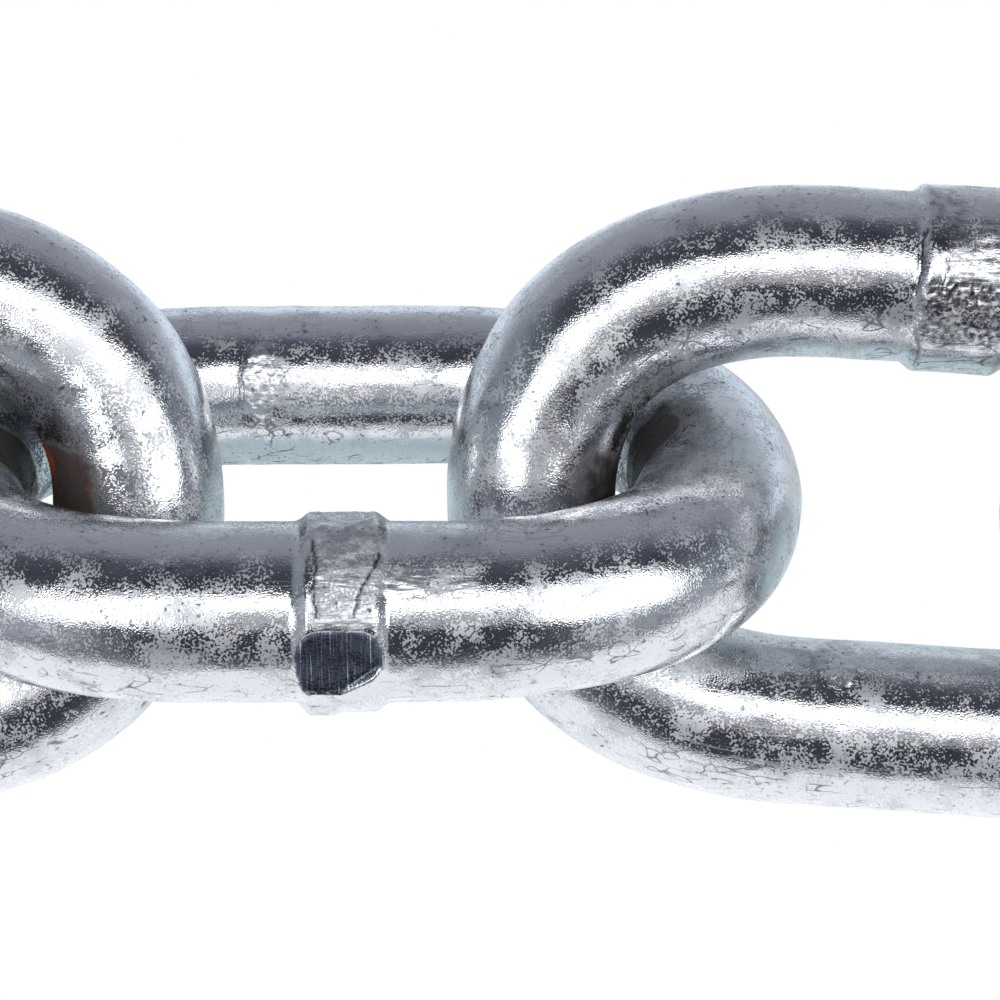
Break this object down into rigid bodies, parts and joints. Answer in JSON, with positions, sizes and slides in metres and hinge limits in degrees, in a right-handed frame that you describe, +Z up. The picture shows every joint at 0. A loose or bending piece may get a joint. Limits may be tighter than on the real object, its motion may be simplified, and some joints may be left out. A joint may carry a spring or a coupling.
{
  "type": "steel chain",
  "caption": "Straight length of welded round-wire steel chain, zinc-plated, its links leaning over on alternate sides as they lie on a floor.",
  "frame": {"origin": "on the floor, under the middle of the chain", "axes": "+X along the chain, +Z up; the picture was taken from the -Y side and above"},
  "size_m": [0.9808, 0.0356, 0.0263],
  "materials": {
    "zinc_plated_steel": "bright electro-zinc plating over drawn steel wire"
  },
  "bodies": {
    "link_01": {"link_01": "zinc_plated_steel"},
    "link_02": {"link_02": "zinc_plated_steel"},
    "link_03": {"link_03": "zinc_plated_steel"},
    "link_04": {"link_04": "zinc_plated_steel"},
    "link_05": {"link_05": "zinc_plated_steel"},
    "link_06": {"link_06": "zinc_plated_steel"},
    "link_07": {"link_07": "zinc_plated_steel"},
    "link_08": {"link_08": "zinc_plated_steel"},
    "link_09": {"link_09": "zinc_plated_steel"},
    "link_10": {"link_10": "zinc_plated_steel"},
    "link_11": {"link_11": "zinc_plated_steel"},
    "link_12": {"link_12": "zinc_plated_steel"},
    "link_13": {"link_13": "zinc_plated_steel"},
    "link_14": {"link_14": "zinc_plated_steel"},
    "link_15": {"link_15": "zinc_plated_steel"},
    "link_16": {"link_16": "zinc_plated_steel"},
    "link_17": {"link_17": "zinc_plated_steel"},
    "link_18": {"link_18": "zinc_plated_steel"},
    "link_19": {"link_19": "zinc_plated_steel"},
    "link_20": {"link_20": "zinc_plated_steel"},
    "link_21": {"link_21": "zinc_plated_steel"},
    "link_22": {"link_22": "zinc_plated_steel"},
    "link_23": {"link_23": "zinc_plated_steel"},
    "link_24": {"link_24": "zinc_plated_steel"},
    "link_25": {"link_25": "zinc_plated_steel"},
    "link_26": {"link_26": "zinc_plated_steel"},
    "link_27": {"link_27": "zinc_plated_steel"},
    "link_28": {"link_28": "zinc_plated_steel"}
  },
  "joints": [
    {"name": "link_02_swing", "type": "hinge", "parent": "link_01", "child": "link_02", "pos_m": [-0.45157, -0.00066, 0.01249], "axis": [-0.0283, -0.5786, 0.8151], "range_deg": [-75, 75]},
    {"name": "link_03_swing", "type": "hinge", "parent": "link_02", "child": "link_03", "pos_m": [-0.4188, -0.00057, 0.01235], "axis": [-0.0111, 0.5298, 0.848], "range_deg": [-75, 75]},
    {"name": "link_04_swing", "type": "hinge", "parent": "link_03", "child": "link_04", "pos_m": [-0.38448, -0.00026, 0.0125], "axis": [0.0078, 0.5562, -0.831], "range_deg": [-75, 75]},
    {"name": "link_05_swing", "type": "hinge", "parent": "link_04", "child": "link_05", "pos_m": [-0.34858, 0.00122, 0.01221], "axis": [0.0207, -0.5646, -0.8251], "range_deg": [-75, 75]},
    {"name": "link_06_swing", "type": "hinge", "parent": "link_05", "child": "link_06", "pos_m": [-0.31583, -0.0005, 0.01205], "axis": [-0.0129, -0.5283, 0.849], "range_deg": [-75, 75]},
    {"name": "link_07_swing", "type": "hinge", "parent": "link_06", "child": "link_07", "pos_m": [-0.28139, -0.0007, 0.01231], "axis": [-0.0009, 0.5284, 0.849], "range_deg": [-75, 75]},
    {"name": "link_08_swing", "type": "hinge", "parent": "link_07", "child": "link_08", "pos_m": [-0.24645, 0.00199, 0.01282], "axis": [-0.0159, 0.5371, -0.8434], "range_deg": [-75, 75]},
    {"name": "link_09_swing", "type": "hinge", "parent": "link_08", "child": "link_09", "pos_m": [-0.21318, 0.00027, 0.01257], "axis": [-0.0283, -0.5786, -0.8151], "range_deg": [-75, 75]},
    {"name": "link_10_swing", "type": "hinge", "parent": "link_09", "child": "link_10", "pos_m": [-0.17832, 0.00029, 0.01261], "axis": [0.0111, -0.5298, 0.848], "range_deg": [-75, 75]},
    {"name": "link_11_swing", "type": "hinge", "parent": "link_10", "child": "link_11", "pos_m": [-0.14478, -0.00076, 0.01286], "axis": [0.0078, 0.5562, 0.831], "range_deg": [-75, 75]},
    {"name": "link_12_swing", "type": "hinge", "parent": "link_11", "child": "link_12", "pos_m": [-0.1102, 0.00003, 0.01243], "axis": [-0.0207, 0.5646, -0.8251], "range_deg": [-75, 75]},
    {"name": "link_13_swing", "type": "hinge", "parent": "link_12", "child": "link_13", "pos_m": [-0.07594, -0.00064, 0.01223], "axis": [-0.0129, -0.5283, -0.849], "range_deg": [-75, 75]},
    {"name": "link_14_swing", "type": "hinge", "parent": "link_13", "child": "link_14", "pos_m": [-0.04183, -0.00057, 0.01218], "axis": [0.0009, -0.5284, 0.849], "range_deg": [-75, 75]},
    {"name": "link_15_swing", "type": "hinge", "parent": "link_14", "child": "link_15", "pos_m": [-0.00689, 0.00056, 0.01249], "axis": [-0.0159, 0.5371, 0.8434], "range_deg": [-75, 75]},
    {"name": "link_16_swing", "type": "hinge", "parent": "link_15", "child": "link_16", "pos_m": [0.02843, -0.00093, 0.01249], "axis": [0.0283, 0.5786, -0.8151], "range_deg": [-75, 75]},
    {"name": "link_17_swing", "type": "hinge", "parent": "link_16", "child": "link_17", "pos_m": [0.0612, -0.00083, 0.01235], "axis": [0.0111, -0.5298, -0.848], "range_deg": [-75, 75]},
    {"name": "link_18_swing", "type": "hinge", "parent": "link_17", "child": "link_18", "pos_m": [0.09552, -0.00052, 0.0125], "axis": [-0.0078, -0.5562, 0.831], "range_deg": [-75, 75]},
    {"name": "link_19_swing", "type": "hinge", "parent": "link_18", "child": "link_19", "pos_m": [0.13142, 0.00096, 0.01221], "axis": [-0.0207, 0.5646, 0.8251], "range_deg": [-75, 75]},
    {"name": "link_20_swing", "type": "hinge", "parent": "link_19", "child": "link_20", "pos_m": [0.16417, -0.00076, 0.01205], "axis": [0.0129, 0.5283, -0.849], "range_deg": [-75, 75]},
    {"name": "link_21_swing", "type": "hinge", "parent": "link_20", "child": "link_21", "pos_m": [0.19861, -0.00096, 0.01231], "axis": [0.0009, -0.5284, -0.849], "range_deg": [-75, 75]},
    {"name": "link_22_swing", "type": "hinge", "parent": "link_21", "child": "link_22", "pos_m": [0.23355, 0.00172, 0.01282], "axis": [0.0159, -0.5371, 0.8434], "range_deg": [-75, 75]},
    {"name": "link_23_swing", "type": "hinge", "parent": "link_22", "child": "link_23", "pos_m": [0.26682, 0, 0.01257], "axis": [0.0283, 0.5786, 0.8151], "range_deg": [-75, 75]},
    {"name": "link_24_swing", "type": "hinge", "parent": "link_23", "child": "link_24", "pos_m": [0.30167, 0.00003, 0.01261], "axis": [-0.0111, 0.5298, -0.848], "range_deg": [-75, 75]},
    {"name": "link_25_swing", "type": "hinge", "parent": "link_24", "child": "link_25", "pos_m": [0.33522, -0.00102, 0.01286], "axis": [-0.0078, -0.5562, -0.831], "range_deg": [-75, 75]},
    {"name": "link_26_swing", "type": "hinge", "parent": "link_25", "child": "link_26", "pos_m": [0.3698, -0.00023, 0.01243], "axis": [0.0207, -0.5646, 0.8251], "range_deg": [-75, 75]},
    {"name": "link_27_swing", "type": "hinge", "parent": "link_26", "child": "link_27", "pos_m": [0.40406, -0.0009, 0.01223], "axis": [0.0129, 0.5283, 0.849], "range_deg": [-75, 75]},
    {"name": "link_28_swing", "type": "hinge", "parent": "link_27", "child": "link_28", "pos_m": [0.43817, -0.00083, 0.01218], "axis": [-0.0009, 0.5284, -0.849], "range_deg": [-75, 75]}
  ]
}
